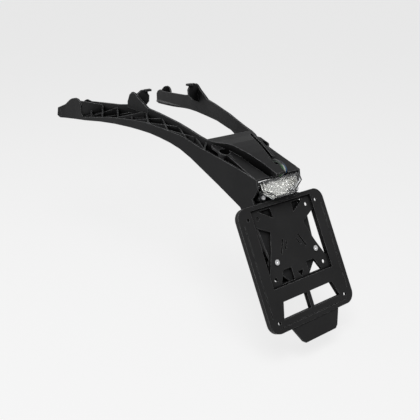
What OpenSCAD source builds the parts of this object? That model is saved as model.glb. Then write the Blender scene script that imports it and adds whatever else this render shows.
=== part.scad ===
// Rear fender extension for a motorcycle: a moulded carrier with two truss arms that bolt under the seat,
// a number plate holder at its rear end and a lamp between them. Millimetres.
// X points to the rear of the motorcycle, Y to its right and Z up. The origin lies on the rear face of the
// plate holder, midway between its four corner holes.

/* [Plate holder] */
// Width of the plate holder
plate_w = 170; // [150:1:190]
// Height of the plate holder
plate_h = 186; // [170:1:195]
// Corner radius of the plate holder
plate_r = 17; // [8:1:22]
// Depth of the plate holder from front to back
plate_depth = 8; // [6:0.5:10]
// Thickness of its moulded walls
plate_wall = 3; // [2:0.1:3.5]
// How deep the cross arms lie below the rim
arm_set = 3; // [2:0.1:3.2]
// Lean of the plate holder, lower edge to the rear
plate_tilt = 30; // [27:0.5:33]
// Sideways spacing of the four corner holes
corner_dy = 136; // [126:1:140]
// Upright spacing of the four corner holes
corner_dz = 153.5; // [145:0.5:158]
// Radius of the corner holes
corner_r = 2.6; // [2:0.1:3.2]
// Radius of the four holes in the cross arms
arm_hole_r = 3; // [2:0.1:3.5]
// How far the lower tab reaches below the plate holder
tab_drop = 27; // [15:1:40]

/* [Carrier] */
// Length of the truss arms in front of the deck
arm_len = 421; // [380:1:450]
// Thickness of the moulded walls
wall = 3; // [2.4:0.1:3.4]
// Thickness of the truss ribs
rib_t = 2.4; // [1.6:0.1:3]
// Thickness of the channel floor and the deck
floor_t = 3; // [2.4:0.1:3.6]
// Thickness of the two lugs on each arm
lug_t = 4; // [3:0.1:5]
// Radius of the recess round each deck bolt
recess_r = 8.4; // [7.8:0.1:8.6]
// Sideways spacing of the two deck bolts
bolt_dy = 77; // [76:0.1:78]
// Radius of the bore in the deck bushes
bush_bore_r = 4.2; // [3.2:0.1:4.6]
// Wall of the deck bushes
bush_wall = 1.6; // [1.2:0.1:2]

/* [Lamp and cable] */
// Width of the lens at its top edge
lens_w = 73; // [66:1:74]
// Height of the lens
lens_h = 29.4; // [26:0.1:29.6]
// Depth of the clear lens
lens_depth = 13; // [9:0.5:15]
// Wall of the clear lens
lens_wall = 1.8; // [1.4:0.1:2.4]
// Radius of one lead
lead_r = 1.1; // [0.8:0.1:1.2]
// Radius of the cable sheath
sheath_r = 3.2; // [2.8:0.1:3.4]

/* [Fixings] */
// Radius of the screw heads on the plate holder
head_r = 4.2; // [3.6:0.1:4.6]
// Radius of the screw shanks
shank_r = 2; // [1.6:0.1:2.2]

/* [Hidden] */
$fn = 48;
gap = 0.3;
far = 1000;

// Plate holder, drawn flat as [across, up] from the middle of its top edge
arms_hw = 60;
arms_top = -6.5;
arms_low = -124;
arm_skin = 2.5;
window_top = -145;
window_low = -169;
corner_top = -17.5;

// Where the arms meet the deck, and the front tip before it is stretched to arm_len
deck_x = -171;
tip_x = -592;

function stretch(x) = x < deck_x ? deck_x + (x - deck_x) * arm_len / (deck_x - tip_x) : x;
function stretched(line) = [for (p = line) [stretch(p.x), p.y]];
function reversed(line) = [for (i = [len(line) - 1:-1:0]) line[i]];
function shifted(line, d) = [for (p = line) [p.x, p.y + d]];
function band(line, d) = concat(line, reversed(shifted(line, d)));
// A symmetric outline from its right half
function whole(half) = concat(half, [for (p = reversed(half)) [-p.x, p.y]]);
function across(y, z) = [y * plate_w / 170, z * plate_h / 186];
// A point of the plate holder's own side view [outward, up] turned into the object's side view
function on_side(x, z) = [
    x * cos(plate_tilt) - (z + 94) * sin(plate_tilt),
    x * sin(plate_tilt) + (z + 94) * cos(plate_tilt)
];

// Plan lines [x, y] of the right side
outer_plan = stretched([
    [-592, 121], [-565, 114], [-529, 108], [-450, 98], [-385, 90], [-317, 81], [-262, 70], [-200, 57],
    [-134, 50], [-51.5, 43.2], [10, 38]
]);
inner_plan = stretched([
    [-536, 84.7], [-505, 81], [-450, 75], [-385, 68], [-317, 61], [-262, 54], [-213, 48], [-171, 44],
    [-154, 38], [-142, 31], [-131, 26], [-117, 22], [-98, 17.4], [-70, 11.3], [-46, 7]
]);

// Side lines [x, z]
outer_top = stretched([
    [-592, 116], [-588, 132], [-562, 143], [-545, 154.5], [-536, 158.6], [-526, 161], [-516, 160.5],
    [-509, 156.5], [-507, 152], [-507, 134], [-500, 127.5], [-441, 138.4], [-391, 146.7], [-346, 151.6],
    [-304, 154.9], [-268, 152.2], [-222, 148.3], [-200, 142.7], [-176, 137.4], [-130, 130.6], [-86, 123.9], [-51.8, 117.5]
]);
outer_low = stretched([
    [-84, 65.4], [-222.5, 124.6], [-245, 130.5], [-268.5, 134.5], [-293, 137.3], [-318, 138.2],
    [-347, 137.5],
    [-393, 134.8], [-442, 129.6], [-495, 122], [-540, 117], [-584, 112]
]);
inner_top = stretched([
    [-536, 145.8], [-530, 152], [-520, 156.5], [-505, 155], [-459, 160.2], [-408, 165.6], [-382, 170],
    [-317, 174.2], [-289, 171.4], [-262, 167.6], [-237, 164], [-213, 158.9], [-188, 153.4], [-171, 150.5],
    [-154, 149.3], [-131, 149.3], [-117, 146.5], [-98, 141.7], [-70, 132.3], [-46, 122.7]
]);
inner_low = stretched([
    [-46, 110], [-98, 120], [-131, 126], [-171, 131], [-214, 136], [-240, 138], [-279, 142.5], [-355, 143],
    [-425, 140], [-470, 137.5], [-505, 135], [-536, 132]
]);
// The channel floor: its inner edge in plan, and its underside along the inner and outer edges
floor_edge = concat(stretched([[-585, 112]]), inner_plan);
floor_in = concat(inner_low, stretched([[-585, 114.5]]));
floor_out = stretched([
    [-136, 117], [-171, 124], [-214, 130], [-240, 133], [-279, 138], [-355, 139], [-425, 133.5], [-470, 127.5],
    [-505, 123], [-536, 119], [-585, 113.5]
]);
// How far the truss ribs stay below the top of the inner wall
rib_drop = stretched([
    [-540, 2], [-500, 2], [-460, 4], [-412, 6], [-372, 13], [-330, 16], [-290, 18], [-250, 18], [-171, 14]
]);

function inner_y(x) = lookup(x, inner_plan);
function outer_y(x) = lookup(x, outer_plan);

// A wall that follows a plan line, cut to a side outline
module wall_along(plan, thick, side) {
    intersection() {
        linear_extrude(far, center = true) polygon(band(plan, thick));
        side_cut(side);
    }
}

module side_cut(side, y0 = 0, y1 = 200) {
    translate([0, y1, 0]) rotate([90, 0, 0]) linear_extrude(y1 - y0) polygon(side);
}

module both_sides() {
    children();
    mirror([0, 1, 0]) children();
}

// Everything in here is drawn in the plate holder's frame: X outward, Y across, Z up from its top edge
module on_plate() {
    rotate([0, -plate_tilt, 0]) translate([0, 0, 94]) children();
}

// Stands a drawing [across, up] upright, from x0 outward
module upright(x0, depth) {
    translate([x0, 0, 0]) rotate([90, 0, 90]) linear_extrude(depth) children();
}

// A solid through rings of points
module loft(rings) {
    n = len(rings[0]);
    last = len(rings) - 1;
    sides = [
        for (i = [0:last - 1], j = [0:n - 1])
            each [
                [i * n + j, (i + 1) * n + j, i * n + (j + 1) % n],
                [i * n + (j + 1) % n, (i + 1) * n + j, (i + 1) * n + (j + 1) % n]
            ]
    ];
    ends = [[for (j = [0:n - 1]) j], [for (j = [n - 1:-1:0]) last * n + j]];
    polyhedron([for (r = rings) each r], concat(sides, ends));
}

// The channel floor between the two walls of the right arm
module channel_floor() {
    loft([
        for (p = floor_out)
            let (yi = lookup(p.x, floor_edge) + 1, yo = outer_y(p.x) - 1, zi = lookup(p.x, floor_in))
                [[p.x, yi, zi], [p.x, yi, zi + floor_t], [p.x, yo, p.y + floor_t], [p.x, yo, p.y]]
    ]);
}

// One truss rib between two points [x, y, low, top]
module rib(a, b) {
    run = norm([b.x - a.x, b.y - a.y]);
    translate([a.x, a.y, 0]) rotate([0, 0, atan2(b.y - a.y, b.x - a.x)]) rotate([90, 0, 0])
        linear_extrude(rib_t, center = true) polygon([[0, a[2]], [run, b[2]], [run, b[3]], [0, a[3]]]);
}

function rib_in(x) = [
    x, inner_y(x) + wall / 2, lookup(x, floor_in) + 1, lookup(x, inner_top) - lookup(x, rib_drop)
];
function rib_out(x) = [x, outer_y(x) - wall / 2, lookup(x, floor_out) + 1, lookup(x, outer_top) - 0.6];

// The truss: from each node on the inner wall one rib runs across and one long rib runs forward
module truss() {
    nodes = [-504, -465, -414, -371, -326, -281, -239, -197];
    for (i = [0:len(nodes) - 1]) {
        rib(rib_in(stretch(nodes[i])), rib_out(stretch(nodes[i] + 30)));
        if (i > 0) rib(rib_out(stretch(max(nodes[i - 1] - 21, -512))), rib_in(stretch(nodes[i])));
    }
}

// The right arm's hooked lug: a leaf on the inner wall, a flange turned inward and a lip at its top
lug_leaf = stretched([
    [-377, 165], [-377, 176], [-370, 189.5], [-362, 195.5], [-354, 194], [-343, 187], [-317, 174.2], [-317, 165]
]);
module hooked_lug() {
    x0 = stretch(-353);
    leaf_y = inner_y(x0);
    wall_along(inner_plan, lug_t, lug_leaf);
    translate([x0, leaf_y, 0]) rotate([90, 0, -90]) mirror([0, 0, 1]) linear_extrude(lug_t) polygon([
        [-3, 162], [12, 168], [22, 178], [23, 188], [20, 193], [20, 199], [8, 199], [0, 194], [-3, 190]
    ]);
    translate([x0, leaf_y - 26, 196]) cube([lug_t + 3, 12, 3.5]);
}

// The deck behind the arms
ridge = [for (p = inner_plan) if (p.x >= deck_x) p];
tongue_top = [for (p = inner_top) if (p.x >= deck_x) p];
tongue_low = [[-46, 118.4], [-53, 116], [-56, 113.5], [-70, 114.5], [-98, 121.5], [-131, 128], [-171, 133]];
panel_top = [[-163, 144.5], [-150, 143], [-133, 139], [-98, 129.6], [-70, 122.2], [-51.8, 117.5]];
panel_plan = [
    [-163, 38], [-147, 32], [-131, 27], [-118, 24], [-86, 23.5], [-51.8, 18.6], [-51.8, 42], [-61, 42.4],
    [-121, 37], [-126, 39], [-128, 47], [-136, 48.5], [-150, 49], [-157, 46]
];
groove_plan = [[-122, 21], [-98, 16], [-70, 10], [-54, 8], [-54, 20.5], [-86, 25], [-118, 26]];
groove_top = [
    [-163, 138.5], [-150, 137], [-133, 133], [-98, 123.6], [-70, 116.4], [-64, 115.4], [-51.8, 115.9]
];
bolt_x = -133;
boss_low = 108;
bush_top = 126;
bush_r = bush_bore_r + bush_wall;

module deck_band(line, thick) {
    side_cut(concat(line, reversed(shifted(line, -thick))), -200, 200);
}

module tongue() {
    intersection() {
        linear_extrude(far, center = true) polygon(concat(ridge, [for (p = reversed(ridge)) [p.x, -p.y]]));
        deck_band(tongue_top, floor_t);
    }
    both_sides() wall_along(ridge, wall, concat(tongue_top, tongue_low));
}

module side_panel() {
    intersection() {
        linear_extrude(far, center = true) polygon(panel_plan);
        deck_band(panel_top, floor_t);
    }
    // wall along the wedge between panel and skirt
    intersection() {
        linear_extrude(far, center = true) polygon([[-126, 37.5], [-61, 41], [-61, 43.5], [-126, 41]]);
        side_cut(concat(panel_top, [[-51.8, 110], [-163, 118]]));
    }
    // floor of the groove beside the tongue
    intersection() {
        linear_extrude(far, center = true) polygon(groove_plan);
        deck_band(groove_top, floor_t);
    }
    intersection() {
        linear_extrude(far, center = true)
            polygon([[-120, 23.5], [-86, 22.5], [-62, 19], [-62, 21.7], [-86, 25], [-120, 26]]);
        deck_band(panel_top, 8);
    }
    translate([bolt_x, bolt_dy / 2, 0]) intersection() {
        translate([0, 0, boss_low]) cylinder(r = recess_r + 2, h = 60);
        translate([-bolt_x, -bolt_dy / 2, 0]) side_cut(concat(panel_top, [[0, 100], [-300, 100]]));
    }
}

// Cut-outs of the deck: the bolt recesses, and the slit and notch that the cable lies in on the right
module deck_cuts() {
    both_sides() translate([bolt_x, bolt_dy / 2, 0]) {
        translate([0, 0, bush_top]) cylinder(r = recess_r, h = 60);
        translate([0, 0, boss_low - 1]) cylinder(r = bush_r + gap, h = 60);
    }
    translate([0, 0, 115]) linear_extrude(60)
        polygon([
            [-158, 32], [-142, 24.5], [-131, 19.5], [-98, 10.9], [-72, 5.2], [-72, 10.4], [-98, 16],
            [-131, 24.2], [-142, 29], [-158, 36.5]
        ]);
    translate([-80, 3.5, 118.8]) cube([18, 15, 20]);
    translate([-66, 7.5, 110]) cube([26, 12, 30]);
}

// The tower behind the plate holder, drawn in the plate holder's frame
skirt_low = -80;
tower_x = -plate_depth - gap;
screw_y = 39.5;
screw_z = -88.7;
lamp_screw_y = 33.5;
lamp_screw_z = 7;
lamp_back = -14;
boss_r = 4.4;
nut_seat = 7;
holder_flange = 1.2;

// Half of the tower's outline [across, up]
tower_side = [[41.5, 0], [41.5, -24], [50, -34], [46, -78], [43, -98], [19.5, -122]];
// Half of the shield that stands in front of it, across the three ribs
shield_side = [[46, -70], [47, -96], [45, -106], [28, -122.5]];
shield_x = tower_x - 16;

module tower() {
    on_plate() {
        difference() {
            union() {
                upright(tower_x - wall, wall) polygon(whole(tower_side));
                upright(shield_x, 2.5) polygon(whole(shield_side));
                for (s = [-1, 1])
                    upright(tower_x - nut_seat, nut_seat) translate([s * screw_y, screw_z]) circle(6.5);
                upright(lamp_back - gap - wall, wall) polygon([[-41, -8], [41, -8], [41, 24], [-41, 24]]);
                translate([lamp_back - wall, -41, -8]) cube([-lamp_back + tower_x, 82, wall]);
                for (s = [-1, 1])
                    upright(lamp_back - 2, -lamp_back + 2 - gap)
                        translate([s * lamp_screw_y, lamp_screw_z]) circle(boss_r);
                for (y = [-18, 0, 18])
                    translate([tower_x - 14, y - rib_t / 2, -118]) cube([13, rib_t, 108]);
            }
            for (s = [-1, 1]) {
                upright(tower_x - 20, 30) translate([s * screw_y, screw_z]) circle(shank_r + gap);
                upright(lamp_back - 12, 30) translate([s * lamp_screw_y, lamp_screw_z]) circle(shank_r + 0.1);
            }
        }
    }
}

skirt_rear = [
    [-48.8, 104], [-55.8, 89.3], on_side(tower_x, 10), on_side(tower_x, skirt_low),
    on_side(tower_x - 18, skirt_low + 2), [-84, 65.4]
];

module arm() {
    wall_along(outer_plan, -wall, concat(outer_top, skirt_rear, outer_low));
    wall_along([for (p = inner_plan) if (p.x <= deck_x + 1) p], wall, concat(inner_top, inner_low));
    channel_floor();
    truss();
    hooked_lug();
    // ends of the channel, in front and at the deck
    rib(rib_in(stretch(-534)), [stretch(-580), outer_y(stretch(-580)) - 1, 113, 131]);
    rib([deck_x, inner_y(deck_x) + 1, 131, 148], [deck_x + 4, outer_y(deck_x) - 1, 124, 136]);
}

module fender_carrier() {
    color([0.1, 0.1, 0.11]) difference() {
        union() {
            both_sides() {
                arm();
                side_panel();
            }
            tongue();
            tower();
        }
        deck_cuts();
    }
}

// Plate holder
module slot(x, y, len, wide, turn) {
    translate(across(x, y)) rotate(turn) square([len, wide], center = true);
}

module holder_outline() {
    translate([0, -plate_h / 2]) {
        square([plate_w - 2 * plate_r, plate_h], center = true);
        square([plate_w, plate_h - 2 * plate_r], center = true);
        for (y = [-1, 1], z = [-1, 1])
            translate([y * (plate_w / 2 - plate_r), z * (plate_h / 2 - plate_r)]) circle(plate_r);
    }
}

module mirrored_pair() {
    children();
    mirror([1, 0]) children();
}

// The opening beside the cross arms, from the upper arm down to the lower one
module side_opening() {
    polygon([
        across(arms_hw, -29.6), across(33, -44.3), across(44.5, -76), across(56.5, -102), across(arms_hw, -104)
    ]);
}

// The pocket between the upper arms, and the hole at its outer end
module upper_notch() {
    polygon([across(45, -10), across(21.5, -10), across(20.5, -25.5)]);
}
module notch_end() {
    polygon([across(45, -10), across(36, -10), across(35, -16.5)]);
}
module lower_opening() {
    polygon([across(15, -102.5), across(31.5, -102.5), across(41, -121.5), across(15, -121.5)]);
}
module window() {
    polygon([across(3.3, window_top), across(50, window_top), across(58, window_low), across(3.3, window_low)]);
}
module tab() {
    polygon([
        across(47.5, -175), across(47.5, -187), [36 * plate_w / 170, -plate_h - tab_drop + 4],
        [31 * plate_w / 170, -plate_h - tab_drop], [-31 * plate_w / 170, -plate_h - tab_drop],
        [-36 * plate_w / 170, -plate_h - tab_drop + 4], across(-47.5, -187), across(-47.5, -175)
    ]);
}

module holder_openings() {
    mirrored_pair() {
        side_opening();
        notch_end();
        lower_opening();
        window();
        slot(12.3, -69.6, 12.5, 2.2, -62);
        slot(20.2, -69.4, 22, 2.2, -64);
    }
    polygon([across(-6, -112), across(6, -112), across(0, -121)]);
}

// Pockets in the back, which leave the front skin and walls round every opening
module back_pockets() {
    mirrored_pair() {
        polygon([
            across(63.5, -7), across(73, -7), across(81.5, -15), across(81.5, -171), across(73, -179),
            across(63.5, -179)
        ]);
        polygon([across(8, -127.5), across(48, -127.5), across(54, -141.5), across(8, -141.5)]);
        polygon([across(8, -172.5), across(54, -172.5), across(54, -182.5), across(8, -182.5)]);
    }
}

module arm_holes(r) {
    for (y = [-49, 49], z = [-20, -112]) translate(across(y, z)) circle(r);
}

module plate_holder() {
    color([0.1, 0.1, 0.11]) on_plate() difference() {
        union() {
            upright(-plate_depth, plate_depth) difference() {
                holder_outline();
                holder_openings();
            }
            upright(-plate_wall - 1, plate_wall) tab();
            // flange over the top edge, under the lamp
            translate([-plate_depth, -40, -plate_wall]) cube([plate_depth - 1, 80, plate_wall + holder_flange]);
        }
        // the cross arms lie below the rim
        upright(-arm_set, far) polygon(whole([across(arms_hw, arms_top), across(arms_hw, arms_low)]));
        upright(-plate_depth + 1.5, far) mirrored_pair() upper_notch();
        upright(-plate_depth - 1, plate_depth + 1 - plate_wall) back_pockets();
        upright(-plate_depth - 1, plate_depth + 1 - arm_set - arm_skin) arm_holes(arm_hole_r + 3.5);
        upright(-plate_depth - 1, plate_depth + 2) {
            arm_holes(arm_hole_r);
            for (y = [-1, 1], z = [0, 1])
                translate([y * corner_dy / 2, corner_top - z * corner_dz]) circle(corner_r);
            for (y = [-1, 1]) translate([y * screw_y, screw_z]) circle(shank_r + gap);
        }
        // shallow steps: along both side bars and across the lower bar
        for (y = [-1, 1])
            translate([-0.6, y * (plate_w / 2 - 8) - 0.6, -plate_h + 24]) cube([2, 1.2, plate_h - 48]);
        translate([-0.6, -plate_w / 2 + 16, -plate_h + 7]) cube([2, plate_w - 32, 1]);
    }
}

// Lamp, drawn in the plate holder's frame
lens_x = 4;
bezel_x = lens_x - gap;
board_x = -8.5;
board_t = 1.6;
reflector_x = board_x + board_t + 0.4;
lead_slot_y = 9.3;
led_places = [-20, -10, 0, 10, 20];
led_z = 14;
led_r = 1.6;
lens_top = 30;
lens_low = lens_top - lens_h;
module lens_outline(inset = 0) {
    hw = lens_w / 2 - inset;
    polygon(whole([
        [hw, lens_top - inset], [hw + 1.5, 17], [22 - inset * 0.6, lens_low + 5 + inset],
        [17 - inset * 0.6, lens_low + inset]
    ]));
}

// The part of the lens outline that stays above the holder's flange, clear of the two screw bosses
module housing_outline(inset) {
    difference() {
        lens_outline(inset);
        translate([-60, -40 + holder_flange + gap + inset / 2]) square([120, 40]);
        for (s = [-1, 1]) translate([s * lamp_screw_y, lamp_screw_z]) circle(boss_r + gap + inset / 2);
    }
}

module lamp_housing() {
    color([0.07, 0.07, 0.08]) on_plate() {
        difference() {
            union() {
                upright(lamp_back, -lamp_back + 2) housing_outline(0);
                upright(1, bezel_x - 1) {
                    lens_outline();
                    mirrored_pair() {
                        translate([lamp_screw_y, lamp_screw_z]) circle(boss_r);
                        polygon([[24, 12], [lamp_screw_y - 3, 4], [lamp_screw_y + 4, 8], [36, 16]]);
                    }
                }
            }
            upright(lamp_back + 2, 30) housing_outline(2);
            upright(1.5, 30) lens_outline(2.5);
            for (s = [-1, 1]) upright(-20, 40) translate([s * lamp_screw_y, lamp_screw_z]) circle(shank_r + gap);
            translate([-3.5, lead_slot_y, 20]) cube([5.8, 8.9, 15]);
        }
        // posts for the board
        for (y = [-20, 20])
            upright(lamp_back + 1, board_x - lamp_back - 1 - gap) translate([y, led_z]) circle(2.2);
    }
}

module lamp_reflector() {
    color([0.9, 0.9, 0.9]) on_plate() difference() {
        upright(reflector_x, 7.5) housing_outline(2.6);
        upright(reflector_x + 1.4, 10) housing_outline(4.2);
        for (y = led_places) upright(-10, 20) translate([y, led_z]) circle(led_r + 0.8);
        translate([-3.5, lead_slot_y, 20]) cube([7, 8.9, 15]);
    }
}

module lamp_lens() {
    color([0.9, 0.93, 0.95, 0.4]) on_plate() difference() {
        upright(lens_x, lens_depth) lens_outline();
        upright(lens_x - 1, lens_depth + 1 - lens_wall) lens_outline(lens_wall);
    }
}

module lamp_board() {
    color([0.05, 0.3, 0.12]) on_plate() translate([board_x, -22.5, led_z - 3.5]) cube([board_t, 45, 8]);
}

module lamp_leds() {
    color([0.95, 0.95, 0.85]) on_plate()
        for (y = led_places) upright(board_x + board_t, 3) translate([y, led_z]) circle(led_r);
}

module lamp_screws() {
    color([0.7, 0.7, 0.72]) on_plate() for (s = [-1, 1]) translate([0, s * lamp_screw_y, lamp_screw_z]) {
        upright(bezel_x, 2) circle(3.2);
        upright(-15, 15 + lens_x) circle(shank_r - 0.1);
    }
}

module holder_screws() {
    color([0.7, 0.7, 0.72]) on_plate() for (s = [-1, 1]) translate([0, s * screw_y, screw_z]) {
        difference() {
            upright(-arm_set, 2.6) circle(head_r);
            upright(1 - arm_set, 3) circle(1.6, $fn = 6);
        }
        upright(tower_x - 14, -tower_x + 14 - arm_set) circle(shank_r);
    }
}

module holder_nuts() {
    color([0.6, 0.6, 0.62]) on_plate() for (s = [-1, 1]) translate([0, s * screw_y, screw_z])
        upright(tower_x - nut_seat - 3.2, 3.2) difference() {
            circle(3.9, $fn = 6);
            circle(shank_r + 0.05);
        }
}

module deck_bushes() {
    color([0.72, 0.72, 0.74]) both_sides() translate([bolt_x, bolt_dy / 2, boss_low]) difference() {
        cylinder(r = bush_r, h = bush_top - boss_low);
        translate([0, 0, -1]) cylinder(r = bush_bore_r, h = 60);
    }
}

// A smooth cord through points: the path is rounded, then rings are set square to it
function between(a, b, c, d, t) = 0.5 * (
    2 * b + (c - a) * t + (2 * a - 5 * b + 4 * c - d) * t * t + (3 * b - a - 3 * c + d) * t * t * t
);
function rounded_path(pts, steps) = [
    for (i = [0:len(pts) - 2], k = [0:steps - 1])
        between(pts[max(i - 1, 0)], pts[i], pts[i + 1], pts[min(i + 2, len(pts) - 1)], k / steps),
    pts[len(pts) - 1]
];
function ring(p, along, r, n) =
    let (t = along / norm(along), u = cross(t, [0, 1, 0]) / norm(cross(t, [0, 1, 0])), v = cross(t, u))
        [for (k = [0:n - 1]) p + r * (cos(360 * k / n) * u + sin(360 * k / n) * v)];

module cord(points, r) {
    path = rounded_path(points, 3);
    last = len(path) - 1;
    loft([for (i = [0:last]) ring(path[i], path[min(i + 1, last)] - path[max(i - 1, 0)], r, 12)]);
}

module cable_sheath() {
    color([0.05, 0.05, 0.05])
        cord([[-148, 25, 140], [-131, 20.5, 139.5], [-98, 12.5, 134.5], [-82, 10, 129]], sheath_r);
}

// One lead: from its place in the sheath's end [across, up] over the rear edge and down into the lamp
module lead(start, y, shade) {
    color(shade) cord([
        [-80, 10 + start.x, 128.6 + start.y], [-74, (10 + y) / 2 + start.x, 130.6 + start.y], [-67, y, 130.4],
        [-59, y, 127.4], [-54, y, 122.6], [-53.6, y, 117.6], [-58, y, 113.2], [-62.2, y, 109], [-63.4, y, 105.6]
    ], lead_r);
}

module wire_green() {
    lead([-1.5, -0.9], 11, [0.2, 0.5, 0.2]);
}
module wire_white() {
    lead([0, 1.8], 13.7, [0.9, 0.9, 0.9]);
}
module wire_blue() {
    lead([1.5, -0.9], 16.4, [0.1, 0.3, 0.6]);
}

module cable_plug() {
    color([0.06, 0.06, 0.06]) translate([-169, 18, 136.5]) cube([19, 13, 9.5]);
}

fender_carrier();
plate_holder();
lamp_housing();
lamp_reflector();
lamp_lens();
lamp_board();
lamp_leds();
lamp_screws();
holder_screws();
holder_nuts();
deck_bushes();
cable_sheath();
wire_green();
wire_white();
wire_blue();
cable_plug();
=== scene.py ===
import math

import bmesh
import bpy
from mathutils import Matrix, Vector


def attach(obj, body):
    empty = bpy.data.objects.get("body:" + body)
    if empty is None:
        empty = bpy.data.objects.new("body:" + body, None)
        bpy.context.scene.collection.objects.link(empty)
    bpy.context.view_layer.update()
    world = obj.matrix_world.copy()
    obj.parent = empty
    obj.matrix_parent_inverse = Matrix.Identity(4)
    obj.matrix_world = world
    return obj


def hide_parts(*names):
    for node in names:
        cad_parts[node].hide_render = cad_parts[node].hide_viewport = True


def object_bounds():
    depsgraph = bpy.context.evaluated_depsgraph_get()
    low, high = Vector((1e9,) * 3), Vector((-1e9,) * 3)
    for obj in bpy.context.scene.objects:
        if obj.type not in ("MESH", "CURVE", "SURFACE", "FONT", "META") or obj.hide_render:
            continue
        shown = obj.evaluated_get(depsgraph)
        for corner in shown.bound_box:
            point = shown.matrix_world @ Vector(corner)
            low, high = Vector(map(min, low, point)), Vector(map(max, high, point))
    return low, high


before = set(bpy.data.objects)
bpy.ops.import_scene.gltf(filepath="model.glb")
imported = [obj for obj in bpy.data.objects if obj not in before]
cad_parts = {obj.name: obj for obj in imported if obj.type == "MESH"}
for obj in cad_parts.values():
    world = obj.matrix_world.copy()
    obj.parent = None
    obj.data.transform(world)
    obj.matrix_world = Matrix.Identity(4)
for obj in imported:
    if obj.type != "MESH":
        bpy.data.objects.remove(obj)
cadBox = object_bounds()
print("frame loaded:", sorted(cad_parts))


# small helpers for the node trees: each adds a node and gives back its output
def newGroup(name, inputs, outputs):
    group = bpy.data.node_groups.new(name, "ShaderNodeTree")
    for label, kind, value in inputs:
        socket = group.interface.new_socket(label, in_out="INPUT", socket_type=kind)
        socket.default_value = value
    for label, kind in outputs:
        group.interface.new_socket(label, in_out="OUTPUT", socket_type=kind)
    return group, group.nodes.new("NodeGroupInput"), group.nodes.new("NodeGroupOutput")


def placeGroup(tree, group, values, coords):
    node = tree.nodes.new("ShaderNodeGroup")
    node.node_tree = group
    for label, value in values.items():
        node.inputs[label].default_value = value
    tree.links.new(coords, node.inputs["Vector"])
    return node


def noise(tree, vector, scale, detail=3.0, rough=0.5):
    node = tree.nodes.new("ShaderNodeTexNoise")
    node.inputs["Scale"].default_value = scale
    node.inputs["Detail"].default_value = detail
    node.inputs["Roughness"].default_value = rough
    tree.links.new(vector, node.inputs["Vector"])
    return node.outputs["Fac"]


def cells(tree, vector, scale):
    node = tree.nodes.new("ShaderNodeTexVoronoi")
    node.inputs["Scale"].default_value = scale
    tree.links.new(vector, node.inputs["Vector"])
    return node


def ranged(tree, value, span, outLow, outHigh):
    node = tree.nodes.new("ShaderNodeMapRange")
    node.inputs["From Min"].default_value, node.inputs["From Max"].default_value = span
    for label, number in (("To Min", outLow), ("To Max", outHigh)):
        if isinstance(number, (int, float)):
            node.inputs[label].default_value = number
        else:
            tree.links.new(number, node.inputs[label])
    tree.links.new(value, node.inputs["Value"])
    return node.outputs["Result"]


def calc(tree, operation, a, b):
    node = tree.nodes.new("ShaderNodeMath")
    node.operation = operation
    for index, value in enumerate((a, b)):
        if isinstance(value, (int, float)):
            node.inputs[index].default_value = value
        else:
            tree.links.new(value, node.inputs[index])
    return node.outputs[0]


def mixColour(tree, factor, a, b):
    node = tree.nodes.new("ShaderNodeMix")
    node.data_type = "RGBA"
    for index, value in ((0, factor), (6, a), (7, b)):  # the sockets of a colour mix
        if hasattr(value, "is_output"):
            tree.links.new(value, node.inputs[index])
        else:
            node.inputs[index].default_value = value
    return node.outputs[2]


def shaded(colour, share=1.0):
    return (*(share * channel for channel in colour), 1)


noiseSpan = (0.3, 0.7)  # a noise texture stays between these almost everywhere

# moulding grain: fine leather-like pimples over slow waves, with handling marks that vary the gloss
grainSettings = {"pimpleShare": 0.6, "fineScale": 2400.0, "fineShare": 0.35, "waveScale": 22.0,
                 "waveShare": 0.9, "markScale": 46.0, "markDetail": 6.0, "markRough": 0.65,
                 "smudgeScale": 9.0, "wearSpan": (0.52, 0.8)}


def makeGrainGroup(settings):
    group, source, target = newGroup(
        "mouldedGrain",
        [("Vector", "NodeSocketVector", (0, 0, 0)), ("Grain Scale", "NodeSocketFloat", 900.0),
         ("Rough Low", "NodeSocketFloat", 0.4), ("Rough High", "NodeSocketFloat", 0.6)],
        [("Height", "NodeSocketFloat"), ("Roughness", "NodeSocketFloat"), ("Wear", "NodeSocketFloat")],
    )
    vector = source.outputs["Vector"]
    pimples = cells(group, vector, 1.0)
    group.links.new(source.outputs["Grain Scale"], pimples.inputs["Scale"])
    fine = noise(group, vector, settings["fineScale"], detail=2.0)
    waves = noise(group, vector, settings["waveScale"], detail=2.0)
    low = calc(group, "ADD", calc(group, "MULTIPLY", fine, settings["fineShare"]),
               calc(group, "MULTIPLY", waves, settings["waveShare"]))
    high = calc(group, "MULTIPLY", pimples.outputs["Distance"], settings["pimpleShare"])
    height = calc(group, "ADD", high, low)
    marks = noise(group, vector, settings["markScale"], settings["markDetail"], settings["markRough"])
    smudge = noise(group, vector, settings["smudgeScale"])
    blend = calc(group, "MULTIPLY", calc(group, "ADD", marks, smudge), 0.5)
    rough = ranged(group, blend, noiseSpan, source.outputs["Rough Low"], source.outputs["Rough High"])
    group.links.new(height, target.inputs["Height"])
    group.links.new(rough, target.inputs["Roughness"])
    group.links.new(ranged(group, marks, settings["wearSpan"], 0.0, 1.0), target.inputs["Wear"])
    return group


# how open a place is: deep pockets and slots get painted shade in their colour and a dusty, rough finish,
# and sharp exposed edges get a painted pale highlight
shelterSettings = {"reach": 0.055, "edgeRadius": 0.001, "openSamples": 12, "edgeSamples": 6,
                   "openSpan": (0.64, 0.93), "exposedSpan": (0.45, 0.7), "sharpSpan": (0.97, 0.8),
                   "brokenScale": 160.0, "brokenSpan": (0.3, 0.6), "brokenLeast": 0.4}


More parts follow.
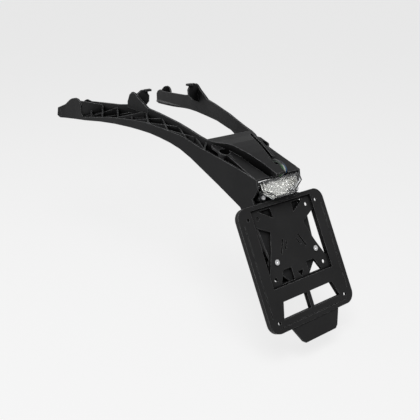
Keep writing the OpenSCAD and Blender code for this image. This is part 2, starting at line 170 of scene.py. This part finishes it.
def makeShelterGroup(settings):
    group, source, target = newGroup(
        "shadeAndHighlightMasks",
        [("Vector", "NodeSocketVector", (0, 0, 0)), ("Reach", "NodeSocketFloat", settings["reach"]),
         ("Edge Radius", "NodeSocketFloat", settings["edgeRadius"])],
        [("Open", "NodeSocketFloat"), ("Edge", "NodeSocketFloat"), ("Normal", "NodeSocketVector")],
    )
    shelter = group.nodes.new("ShaderNodeAmbientOcclusion")
    shelter.samples = settings["openSamples"]
    shelter.only_local = True
    group.links.new(source.outputs["Reach"], shelter.inputs["Distance"])
    # the Open mask sets where the painted shade of recesses falls
    opened = ranged(group, shelter.outputs["AO"], settings["openSpan"], 0.0, 1.0)
    exposed = ranged(group, shelter.outputs["AO"], settings["exposedSpan"], 0.0, 1.0)
    rounded = group.nodes.new("ShaderNodeBevel")
    rounded.samples = settings["edgeSamples"]
    group.links.new(source.outputs["Edge Radius"], rounded.inputs["Radius"])
    # on an edge the rounded normal leaves the true one
    geometry = group.nodes.new("ShaderNodeNewGeometry")
    turn = group.nodes.new("ShaderNodeVectorMath")
    turn.operation = "DOT_PRODUCT"
    group.links.new(rounded.outputs["Normal"], turn.inputs[0])
    group.links.new(geometry.outputs["Normal"], turn.inputs[1])
    sharp = ranged(group, turn.outputs["Value"], settings["sharpSpan"], 0.0, 1.0)
    # the Edge mask: where the painted highlight goes, broken into patches and kept off sheltered places
    patches = noise(group, source.outputs["Vector"], settings["brokenScale"], detail=4.0)
    broken = ranged(group, patches, settings["brokenSpan"], settings["brokenLeast"], 1.0)
    edge = calc(group, "MULTIPLY", calc(group, "MULTIPLY", sharp, broken), exposed)
    group.links.new(opened, target.inputs["Open"])
    group.links.new(edge, target.inputs["Edge"])
    group.links.new(rounded.outputs["Normal"], target.inputs["Normal"])
    return group


grainGroup = makeGrainGroup(grainSettings)
shelterGroup = makeShelterGroup(shelterSettings)


def startMaterial(name, settings):
    material = bpy.data.materials.new(name)
    material.use_nodes = True
    tree = material.node_tree
    shader = tree.nodes["Principled BSDF"]
    for label, value in settings.items():
        shader.inputs[label].default_value = value
    coords = tree.nodes.new("ShaderNodeTexCoord").outputs["Object"]
    return material, tree, shader, coords


def bumpInto(tree, shader, height, strength, distance, normal=None):
    bump = tree.nodes.new("ShaderNodeBump")
    if normal:
        tree.links.new(normal, bump.inputs["Normal"])
    bump.inputs["Strength"].default_value = strength
    bump.inputs["Distance"].default_value = distance
    tree.links.new(height, bump.inputs["Height"])
    tree.links.new(bump.outputs["Normal"], shader.inputs["Normal"])


# the moulded black plastics: what they share, then each piece's own finish
# the recess share darkens the colour in recesses as painted shade, and the edge share brightens exposed
# edges as a painted highlight
plasticSettings = {"specular": 0.06, "tintScale": 14.0, "tintMost": 0.35, "wearShare": 0.25,
                   "recessShadeShare": 0.12, "recessRough": 0.95, "edgeHighlightShare": 7.0, "bumpDistance": 0.0002}
plasticFinishes = {
    "fender_carrier": {"name": "carrierPlastic", "dark": (0.019, 0.0192, 0.0198),
                       "pale": (0.038, 0.0382, 0.039), "rough": (0.4, 0.58), "grain": 900.0,
                       "bump": 0.35, "edge": 0.0016},
    "plate_holder": {"name": "holderPlastic", "dark": (0.024, 0.024, 0.0245), "pale": (0.044, 0.044, 0.0445),
                     "rough": (0.45, 0.6), "grain": 800.0, "bump": 0.4, "edge": 0.0009},
    "lamp_housing": {"name": "housingPlastic", "dark": (0.008, 0.008, 0.009), "pale": (0.022, 0.022, 0.023),
                     "rough": (0.3, 0.45), "grain": 1400.0, "bump": 0.15, "edge": 0.0008},
    "cable_plug": {"name": "plugPlastic", "dark": (0.008, 0.008, 0.009), "pale": (0.022, 0.022, 0.023),
                   "rough": (0.4, 0.55), "grain": 1400.0, "bump": 0.15, "edge": 0.0008},
}


def mouldedPlastic(finish, settings):
    plain = {"Specular IOR Level": settings["specular"]}
    material, tree, shader, coords = startMaterial(finish["name"], plain)
    roughLow, roughHigh = finish["rough"]
    values = {"Grain Scale": finish["grain"], "Rough Low": roughLow, "Rough High": roughHigh}
    grain = placeGroup(tree, grainGroup, values, coords)
    shelter = placeGroup(tree, shelterGroup, {"Edge Radius": finish["edge"]}, coords)
    clouds = noise(tree, coords, settings["tintScale"], detail=4.0)
    tint = ranged(tree, clouds, noiseSpan, 0.0, settings["tintMost"])
    base = mixColour(tree, tint, shaded(finish["dark"]), shaded(finish["pale"]))
    wear = calc(tree, "MULTIPLY", grain.outputs["Wear"], settings["wearShare"])
    base = mixColour(tree, wear, base, shaded(finish["pale"]))
    # painted shade: where the place is sheltered, the colour turns to a much darker copy of the dark tone
    base = mixColour(tree, shelter.outputs["Open"], shaded(finish["dark"], settings["recessShadeShare"]), base)
    # painted highlight: sharp, exposed edges turn several times paler than the pale tone
    base = mixColour(tree, shelter.outputs["Edge"], base, shaded(finish["pale"], settings["edgeHighlightShare"]))
    tree.links.new(base, shader.inputs["Base Color"])
    dusty = (*[settings["recessRough"]] * 3, 1)
    rough = mixColour(tree, shelter.outputs["Open"], dusty, grain.outputs["Roughness"])
    tree.links.new(rough, shader.inputs["Roughness"])
    bumpInto(tree, shader, grain.outputs["Height"], finish["bump"], settings["bumpDistance"],
             shelter.outputs["Normal"])
    return material


# screws, nuts and bushes: turned steel with fine lines and slightly darker patches
steelSettings = {"lineScale": 900.0, "patchScale": 120.0, "patchShare": 0.72, "bump": 0.25,
                 "bumpDistance": 0.0001}
steelFinishes = {
    "lamp_screws": {"name": "screwSteel", "colour": (0.62, 0.62, 0.63), "rough": (0.18, 0.34)},
    "holder_screws": {"name": "headSteel", "colour": (0.66, 0.66, 0.67), "rough": (0.15, 0.3)},
    "holder_nuts": {"name": "nutSteel", "colour": (0.55, 0.55, 0.56), "rough": (0.25, 0.4)},
    "deck_bushes": {"name": "bushSteel", "colour": (0.5, 0.5, 0.5), "rough": (0.28, 0.45)},
}


def turnedSteel(finish, settings):
    material, tree, shader, coords = startMaterial(finish["name"], {"Metallic": 1.0})
    lines = noise(tree, coords, settings["lineScale"])
    patches = noise(tree, coords, settings["patchScale"], detail=4.0)
    darker = shaded(finish["colour"], settings["patchShare"])
    base = mixColour(tree, patches, shaded(finish["colour"]), darker)
    tree.links.new(base, shader.inputs["Base Color"])
    tree.links.new(ranged(tree, lines, noiseSpan, *finish["rough"]), shader.inputs["Roughness"])
    bumpInto(tree, shader, lines, settings["bump"], settings["bumpDistance"])
    return material


# leads, sheath, board and light sources: plain coloured coats. The leads carry painted shade on their upper
# stretch, near the sheath
coatSettings = {"specular": 0.5, "mottleScale": 260.0, "mottleShare": 0.8, "roughSpread": 0.08, "bump": 0.15,
                "bumpDistance": 0.0001, "shadeSpan": (0.1265, 0.1305), "shadeSway": 0.002, "shadeMost": 0.92,
                "shadeColour": (0.012, 0.012, 0.014)}
coatFinishes = {
    "cable_sheath": {"name": "sheathRubber", "colour": (0.02, 0.02, 0.021), "rough": 0.6, "shadedNearSheath": False},
    "lamp_board": {"name": "boardLacquer", "colour": (0.02, 0.12, 0.04), "rough": 0.35, "shadedNearSheath": False},
    "lamp_leds": {"name": "ledResin", "colour": (0.8, 0.78, 0.62), "rough": 0.2, "shadedNearSheath": False},
    "wire_green": {"name": "leadGreen", "colour": (0.05, 0.19, 0.06), "rough": 0.45, "shadedNearSheath": True},
    "wire_white": {"name": "leadWhite", "colour": (0.55, 0.58, 0.54), "rough": 0.4, "shadedNearSheath": True},
    "wire_blue": {"name": "leadBlue", "colour": (0.01, 0.065, 0.16), "rough": 0.4, "shadedNearSheath": True},
}


def colouredCoat(finish, settings):
    plain = {"Specular IOR Level": settings["specular"]}
    material, tree, shader, coords = startMaterial(finish["name"], plain)
    mottled = noise(tree, coords, settings["mottleScale"])
    darker = shaded(finish["colour"], settings["mottleShare"])
    base = mixColour(tree, mottled, shaded(finish["colour"]), darker)
    if finish["shadedNearSheath"]:
        # painted shade: higher up the leads, near the sheath, their colour turns almost black
        split = tree.nodes.new("ShaderNodeSeparateXYZ")
        tree.links.new(coords, split.inputs[0])
        sway = calc(tree, "MULTIPLY", mottled, settings["shadeSway"])
        height = calc(tree, "ADD", split.outputs["Z"], sway)
        leadShade = ranged(tree, height, settings["shadeSpan"], 0.0, settings["shadeMost"])
        base = mixColour(tree, leadShade, base, shaded(settings["shadeColour"]))
    tree.links.new(base, shader.inputs["Base Color"])
    low, high = finish["rough"] - settings["roughSpread"], finish["rough"] + settings["roughSpread"]
    tree.links.new(ranged(tree, mottled, noiseSpan, low, high), shader.inputs["Roughness"])
    bumpInto(tree, shader, mottled, settings["bump"], settings["bumpDistance"])
    return material


# the lamp: a metallised reflector and a clear fluted lens
reflectorFinish = {"name": "reflectorChrome", "colour": (0.69, 0.683, 0.65), "cellScale": 330.0,
                   "glossScale": 500.0, "rough": (0.12, 0.26), "bump": 0.6, "bumpDistance": 0.0012}
lensFinish = {"name": "lensClear", "colour": (0.97, 0.98, 0.99), "cellScale": 240.0,
              "glossScale": 300.0, "rough": (0.01, 0.06), "bump": 0.7, "bumpDistance": 0.0009}


def lampSurface(finish, plain):
    colour = {"Base Color": shaded(finish["colour"])}
    material, tree, shader, coords = startMaterial(finish["name"], {**colour, **plain})
    flutes = cells(tree, coords, finish["cellScale"])
    gloss = noise(tree, coords, finish["glossScale"])
    tree.links.new(ranged(tree, gloss, noiseSpan, *finish["rough"]), shader.inputs["Roughness"])
    bumpInto(tree, shader, flutes.outputs["Distance"], finish["bump"], finish["bumpDistance"])
    return material


materials = {node: mouldedPlastic(finish, plasticSettings) for node, finish in plasticFinishes.items()}
materials.update({node: turnedSteel(finish, steelSettings) for node, finish in steelFinishes.items()})
materials.update({node: colouredCoat(finish, coatSettings) for node, finish in coatFinishes.items()})
materials["lamp_reflector"] = lampSurface(reflectorFinish, {"Metallic": 1.0})
materials["lamp_lens"] = lampSurface(lensFinish, {"Transmission Weight": 1.0, "IOR": 1.45})
for node, material in materials.items():
    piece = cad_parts[node]
    piece.data.materials.clear()
    piece.data.materials.append(material)
print("materials:", len(materials))


# small bevels on the CAD pieces: they catch the light as moulded edges do
roundingSettings = {
    "segments": 2, "fromAngle": 35,
    "widths": {"fender_carrier": 0.0005, "plate_holder": 0.0005, "lamp_housing": 0.0004, "lamp_lens": 0.0006,
               "cable_plug": 0.0008, "holder_screws": 0.0003, "lamp_screws": 0.0003, "deck_bushes": 0.0003},
}
for node, width in roundingSettings["widths"].items():
    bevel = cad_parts[node].modifiers.new("roundedEdges", "BEVEL")
    bevel.width = width
    bevel.segments = roundingSettings["segments"]
    bevel.limit_method = "ANGLE"
    bevel.angle_limit = math.radians(roundingSettings["fromAngle"])
print("edges rounded:", len(roundingSettings["widths"]))


def clearSelection():
    if bpy.context.object and bpy.context.object.mode != "OBJECT":
        bpy.ops.object.mode_set(mode="OBJECT")
    bpy.ops.object.select_all(action="DESELECT")


def pickPoints(piece, wanted):
    mesh = bmesh.from_edit_mesh(piece.data)
    for vert in mesh.verts:
        vert.select_set(wanted(vert.co))
    mesh.select_flush(True)
    bmesh.update_edit_mesh(piece.data)


# the mesh is shaped about the origin: this puts it in its place and leaves the object at the origin
def settle(piece, place):
    piece.matrix_world = place
    bpy.ops.object.transform_apply(location=True, rotation=True, scale=True)


# the plate holder's own frame: X across, Y up from its top edge, Z outward
plateSettings = {"tilt": 30.0, "drop": 0.094}


def plateFrame(settings):
    tilt, drop = math.radians(settings["tilt"]), settings["drop"]
    sine, cosine = math.sin(tilt), math.cos(tilt)
    return Matrix(((0, -sine, cosine, -sine * drop),
                   (1, 0, 0, 0),
                   (0, cosine, sine, cosine * drop),
                   (0, 0, 0, 1)))


onPlate = plateFrame(plateSettings)

# the reflector: a sheet of small peaks in the place of the CAD bowl, in the plate's frame
facetSettings = {"width": 0.068, "low": 0.004, "high": 0.0268, "columns": 26, "rows": 10, "out": 0.0002,
                 "peak": 0.0011, "wall": 0.0006, "cutAcross": 0.0205, "cutUp": 0.005,
                 "cutSlope": (0.62, -0.78), "endRises": ((0.0292, 0.003), (0.0318, 0.003), (0.0332, 0.004))}


def makeFacets(settings):
    clearSelection()
    bpy.ops.mesh.primitive_grid_add(x_subdivisions=settings["columns"], y_subdivisions=settings["rows"],
                                    size=1.0)
    piece = bpy.context.object
    piece.name = "reflectorFacets"
    bpy.ops.object.mode_set(mode="EDIT")
    bpy.ops.mesh.select_all(action="SELECT")
    tall = settings["high"] - settings["low"]
    bpy.ops.transform.resize(value=(settings["width"], tall, 1.0), center_override=(0, 0, 0))
    bpy.ops.transform.translate(value=(0, settings["low"] + tall / 2, 0))
    # the two slanting lower corners of the lens
    slopeX, slopeY = settings["cutSlope"]
    for side in (-1, 1):
        bpy.ops.mesh.select_all(action="SELECT")
        bpy.ops.mesh.bisect(plane_co=(side * settings["cutAcross"], settings["cutUp"], 0),
                            plane_no=(side * slopeX, slopeY, 0), clear_outer=True)
    # the ends rise towards the lens, as a bowl does
    for place, rise in settings["endRises"]:
        pickPoints(piece, lambda co: abs(co.x) > place)
        bpy.ops.transform.translate(value=(0, 0, rise))
    bpy.ops.mesh.select_all(action="SELECT")
    bpy.ops.mesh.poke(offset=settings["peak"])
    bpy.ops.mesh.normals_make_consistent(inside=False)
    bpy.ops.object.mode_set(mode="OBJECT")
    sheet = piece.modifiers.new("sheet", "SOLIDIFY")
    sheet.thickness = settings["wall"]
    sheet.offset = -1.0
    bpy.ops.object.modifier_apply(modifier=sheet.name)
    settle(piece, onPlate @ Matrix.Translation((0, 0, settings["out"])))
    piece.data.materials.append(materials["lamp_reflector"])
    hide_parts("lamp_reflector")
    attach(piece, "root")


makeFacets(facetSettings)
print("reflector facets made")

# a lip under the tower's shield: it closes the view through the lower openings of the cross arms
lipSettings = {"width": 0.057, "top": -0.1208, "low": -0.1312, "back": -0.0243, "thick": 0.0025,
               "narrowing": 0.84, "edge": 0.0006}


def makeShieldLip(settings):
    clearSelection()
    bpy.ops.mesh.primitive_cube_add(size=1.0)
    lip = bpy.context.object
    lip.name = "shieldLip"
    bpy.ops.object.mode_set(mode="EDIT")
    bpy.ops.mesh.select_all(action="SELECT")
    tall = settings["top"] - settings["low"]
    bpy.ops.transform.resize(value=(settings["width"], tall, settings["thick"]),
                             center_override=(0, 0, 0))
    pickPoints(lip, lambda co: co.y < 0)
    bpy.ops.transform.resize(value=(settings["narrowing"], 1, 1), center_override=(0, 0, 0))
    bpy.ops.mesh.select_all(action="SELECT")
    bpy.ops.mesh.bevel(offset=settings["edge"], segments=2, affect="EDGES")
    bpy.ops.object.mode_set(mode="OBJECT")
    middle = Vector((0, (settings["top"] + settings["low"]) / 2, settings["back"] + settings["thick"] / 2))
    settle(lip, onPlate @ Matrix.Translation(middle))
    lip.data.materials.append(materials["fender_carrier"])
    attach(lip, "root")


makeShieldLip(lipSettings)
print("shield lip made")

# the truss ribs behind the hooked lugs: their crests rise to the rim.
# Each curve of the arm is a row of (x, value)
crestSettings = {
    "nodes": (-0.371, -0.326, -0.281, -0.239, -0.197), "ahead": 0.030, "behind": 0.021,
    "thick": 0.0022, "deep": 0.010, "below": 0.0065, "inWall": 0.0015, "edge": 0.0004,
    "innerPlan": ((-0.385, 0.068), (-0.317, 0.061), (-0.262, 0.054), (-0.213, 0.048), (-0.171, 0.044),
                  (-0.154, 0.038)),
    "outerPlan": ((-0.385, 0.090), (-0.317, 0.081), (-0.262, 0.070), (-0.200, 0.057), (-0.134, 0.050)),
    "innerTop": ((-0.382, 0.170), (-0.317, 0.1742), (-0.289, 0.1714), (-0.262, 0.1676), (-0.237, 0.164),
                 (-0.213, 0.1589), (-0.188, 0.1534), (-0.171, 0.1505)),
    "outerTop": ((-0.391, 0.1467), (-0.346, 0.1516), (-0.304, 0.1549), (-0.268, 0.1522), (-0.222, 0.1483),
                 (-0.200, 0.1427), (-0.176, 0.1374), (-0.130, 0.1306)),
}


def valueAt(curve, x):
    for (x0, v0), (x1, v1) in zip(curve, curve[1:]):
        if x <= x1:
            return v0 + (v1 - v0) * (x - x0) / (x1 - x0)
    return curve[-1][1]


def makeCrest(start, end, settings):
    clearSelection()
    bpy.ops.mesh.primitive_cube_add(size=1.0)
    crest = bpy.context.object
    bpy.ops.object.mode_set(mode="EDIT")
    bpy.ops.mesh.select_all(action="SELECT")
    run = end - start
    bpy.ops.transform.resize(value=(run.length, settings["thick"], settings["deep"]),
                             center_override=(0, 0, 0))
    bpy.ops.mesh.bevel(offset=settings["edge"], segments=2, affect="EDGES")
    bpy.ops.object.mode_set(mode="OBJECT")
    middle = (start + end) / 2 - Vector((0, 0, settings["deep"] / 2))
    settle(crest, Matrix.Translation(middle) @ run.to_track_quat("X", "Z").to_matrix().to_4x4())
    return crest


def makeTrussCrests(side, name, settings):
    def inner(x):
        return Vector((x, side * (valueAt(settings["innerPlan"], x) + settings["inWall"]),
                       valueAt(settings["innerTop"], x) - settings["below"]))

    def outer(x):
        return Vector((x, side * (valueAt(settings["outerPlan"], x) - settings["inWall"]),
                       valueAt(settings["outerTop"], x)))

    nodes = settings["nodes"]
    crests = []
    for before, node in zip(nodes, nodes[1:]):
        crests.append(makeCrest(inner(node), outer(node + settings["ahead"]), settings))
        crests.append(makeCrest(outer(before - settings["behind"]), inner(node), settings))
    clearSelection()
    for crest in crests:
        crest.select_set(True)
    bpy.context.view_layer.objects.active = crests[0]
    bpy.ops.object.join()
    piece = bpy.context.object
    piece.name = name
    piece.data.materials.append(materials["fender_carrier"])
    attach(piece, "root")


makeTrussCrests(1, "trussCrestsRight", crestSettings)
makeTrussCrests(-1, "trussCrestsLeft", crestSettings)
print("truss crests made")

# a pale paper floor and a white sky
stageSettings = {"floorSize": 30.0, "drop": 0.03, "paper": (0.82, 0.82, 0.82), "shadowShare": 0.22,
                 "whiteLevel": 1.0, "skyLight": 0.16}


# the rays that see the white background: the camera's, and those that metal and glass send on
def seesBackground(tree):
    path = tree.nodes.new("ShaderNodeLightPath")
    seen = calc(tree, "MAXIMUM", path.outputs["Is Camera Ray"], path.outputs["Is Transmission Ray"])
    return calc(tree, "MAXIMUM", seen, path.outputs["Is Glossy Ray"])


def mixInto(tree, share, first, second, outputKind):
    mix = tree.nodes.new("ShaderNodeMixShader")
    output = tree.nodes.new(outputKind)
    for index, value in enumerate((share, first, second)):
        tree.links.new(value, mix.inputs[index])
    tree.links.new(mix.outputs[0], output.inputs[0])


def makeFloor(settings):
    clearSelection()
    low = cadBox[0][2] - settings["drop"]
    bpy.ops.mesh.primitive_plane_add(size=settings["floorSize"], location=(0, 0, low))
    floor = bpy.context.object
    floor.name = "studioFloor"
    material = bpy.data.materials.new("floorPaper")
    material.use_nodes = True
    tree = material.node_tree
    tree.nodes.clear()
    matt = tree.nodes.new("ShaderNodeBsdfDiffuse")
    matt.inputs["Color"].default_value = shaded(settings["paper"])
    glow = tree.nodes.new("ShaderNodeEmission")
    glow.inputs["Strength"].default_value = settings["whiteLevel"]
    share = calc(tree, "MULTIPLY", seesBackground(tree), 1.0 - settings["shadowShare"])
    mixInto(tree, share, matt.outputs[0], glow.outputs[0], "ShaderNodeOutputMaterial")
    floor.data.materials.append(material)


def makeWorld(settings):
    world = bpy.data.worlds.new("studioSky")
    bpy.context.scene.world = world
    world.use_nodes = True
    tree = world.node_tree
    tree.nodes.clear()
    white = tree.nodes.new("ShaderNodeBackground")
    white.inputs["Strength"].default_value = settings["whiteLevel"]
    sky = tree.nodes.new("ShaderNodeBackground")
    sky.inputs["Strength"].default_value = settings["skyLight"]
    mixInto(tree, seesBackground(tree), sky.outputs[0], white.outputs[0], "ShaderNodeOutputWorld")


# both lamps point at the same place in the part's middle
lampSettings = {
    "aim": (-0.2, 0.0, 0.08),
    "lamps": {"keyLamp": {"place": (0.5, -0.5, 1.7), "size": 1.2, "power": 22.0},
              "sideLamp": {"place": (-0.5, -1.7, 0.7), "size": 0.9, "power": 8.0}},
}


def makeLamps(settings):
    aim = Vector(settings["aim"])
    for name, lamp in settings["lamps"].items():
        data = bpy.data.lights.new(name, "AREA")
        data.size = lamp["size"]
        data.energy = lamp["power"]
        light = bpy.data.objects.new(name, data)
        bpy.context.scene.collection.objects.link(light)
        light.location = lamp["place"]
        light.rotation_euler = (aim - Vector(lamp["place"])).to_track_quat("-Z", "Y").to_euler()


# the photograph's view: where the camera stands, and its bearing, height and roll in degrees
cameraSettings = {"place": (0.5256, -0.5492, 0.3998), "bearing": 53.73, "height": 23.27, "roll": 0.24,
                  "lens": 48.66, "sensor": 36.0, "clipEnd": 50.0}


def makeCamera(settings):
    data = bpy.data.cameras.new("photoCamera")
    data.sensor_width = settings["sensor"]
    data.lens = settings["lens"]
    data.clip_end = settings["clipEnd"]
    camera = bpy.data.objects.new("photoCamera", data)
    bpy.context.scene.collection.objects.link(camera)
    turn = Matrix.Rotation(math.radians(settings["bearing"]), 4, "Z")
    tip = Matrix.Rotation(math.radians(90.0 - settings["height"]), 4, "X")
    roll = Matrix.Rotation(math.radians(settings["roll"]), 4, "Z")
    camera.matrix_world = Matrix.Translation(settings["place"]) @ turn @ tip @ roll
    bpy.context.scene.camera = camera


makeFloor(stageSettings)
makeWorld(stageSettings)
makeLamps(lampSettings)
makeCamera(cameraSettings)
bpy.context.scene.view_settings.view_transform = "Standard"
print("stage ready")
